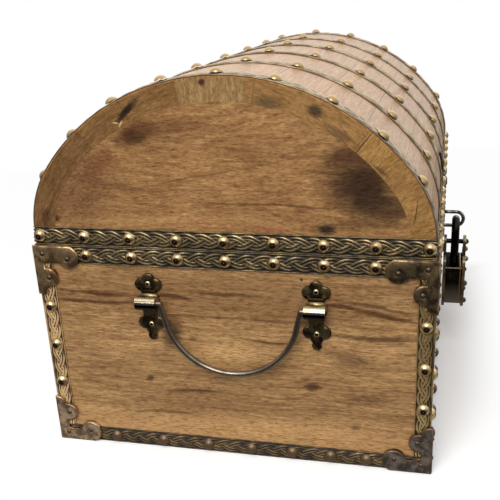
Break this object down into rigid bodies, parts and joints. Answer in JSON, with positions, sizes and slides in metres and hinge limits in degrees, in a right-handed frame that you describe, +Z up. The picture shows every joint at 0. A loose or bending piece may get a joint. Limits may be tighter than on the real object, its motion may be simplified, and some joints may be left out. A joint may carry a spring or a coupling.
{
  "type": "treasure chest",
  "caption": "Barrel-topped wooden chest with braided metal strips, dome nails, corner brackets, hinged lid, end handles, hasp and hanging lock.",
  "frame": {"origin": "centre of the underside of the floor panel", "axes": "+X along the chest, -Y toward the lock, +Z up"},
  "size_m": [0.4384, 0.3307, 0.298],
  "materials": {
    "base_wood": "waxed, aged, horizontal grain",
    "lid_wood": "waxed, aged, paler than the base",
    "braid_metal": "stamped braid, dark in the hollows",
    "dome_nails": "polished antique brass",
    "small_pins": "antique brass",
    "bracket_bronze": "dark bronzed, worn bright on its edges",
    "mount_iron": "blackened bronze, worn bright on the barrel",
    "bail_steel": "worn grey steel",
    "forged_steel": "dark worn steel",
    "hinge_bronze": "dark bronzed",
    "lock_iron": "blackened, worn on its edges",
    "lock_bronze": "darkened brass"
  },
  "bodies": {
    "base": {"base_floor": "base_wood", "base_front_board": "base_wood", "base_back_board": "base_wood", "base_left_board": "base_wood", "base_right_board": "base_wood", "upper_band": "braid_metal", "foot_band": "braid_metal", "corner_strip_front_left": "braid_metal", "corner_strip_front_right": "braid_metal", "corner_strip_back_left": "braid_metal", "corner_strip_back_right": "braid_metal", "top_bracket_front_left": "bracket_bronze", "top_bracket_front_right": "bracket_bronze", "top_bracket_back_left": "bracket_bronze", "top_bracket_back_right": "bracket_bronze", "foot_bracket_front_left": "bracket_bronze", "foot_bracket_front_right": "bracket_bronze", "foot_bracket_back_left": "bracket_bronze", "foot_bracket_back_right": "bracket_bronze", "base_nails": "dome_nails", "base_pins": "small_pins", "left_mount_front": "mount_iron", "left_mount_back": "mount_iron", "right_mount_front": "mount_iron", "right_mount_back": "mount_iron", "base_hinge_leaf_left": "hinge_bronze", "base_hinge_leaf_right": "hinge_bronze", "hinge_pin_left": "forged_steel", "hinge_pin_right": "forged_steel", "staple_plate": "hinge_bronze", "staple": "forged_steel"},
    "lid": {"lid_left_end": "base_wood", "lid_right_end": "base_wood", "lid_left_rim": "lid_wood", "lid_right_rim": "lid_wood", "lid_staves": "lid_wood", "lid_band": "braid_metal", "strap_1": "braid_metal", "strap_2": "braid_metal", "strap_3": "braid_metal", "strap_4": "braid_metal", "strap_5": "braid_metal", "strap_6": "braid_metal", "lid_nails": "dome_nails", "lid_pins": "small_pins", "lid_hinge_leaf_left": "hinge_bronze", "lid_hinge_leaf_right": "hinge_bronze", "hasp_plate": "hinge_bronze", "hasp_pin": "forged_steel"},
    "hasp": {"hasp_fork": "hinge_bronze"},
    "left_bail": {"left_bail": "bail_steel"},
    "right_bail": {"right_bail": "bail_steel"},
    "shackle": {"shackle": "lock_iron"},
    "lock": {"lock_case": "lock_iron", "lock_front_plate": "lock_bronze", "lock_back_plate": "lock_bronze", "lock_spacer": "lock_iron", "lock_rivets": "lock_bronze"}
  },
  "joints": [
    {"name": "lid_hinge", "type": "hinge", "parent": "base", "child": "lid", "pos_m": [0, 0.1515, 0.17025], "axis": [-1, 0, 0], "range_deg": [0, 100]},
    {"name": "hasp_swing", "type": "hinge", "parent": "lid", "child": "hasp", "pos_m": [0, -0.1512, 0.1732], "axis": [-1, 0, 0], "range_deg": [0, 7]},
    {"name": "left_bail_swing", "type": "hinge", "parent": "base", "child": "left_bail", "pos_m": [-0.214, -0.0026, 0.1297], "axis": [0, 1, 0], "range_deg": [0, 130]},
    {"name": "right_bail_swing", "type": "hinge", "parent": "base", "child": "right_bail", "pos_m": [0.214, -0.0026, 0.1297], "axis": [0, -1, 0], "range_deg": [0, 130]},
    {"name": "shackle_swing", "type": "hinge", "parent": "base", "child": "shackle", "pos_m": [0, -0.1632, 0.1364], "axis": [-1, 0, 0], "range_deg": [0, 80]},
    {"name": "lock_slide", "type": "slide", "parent": "shackle", "child": "lock", "axis": [0, 0, -1], "range_m": [0, 0.01]}
  ]
}
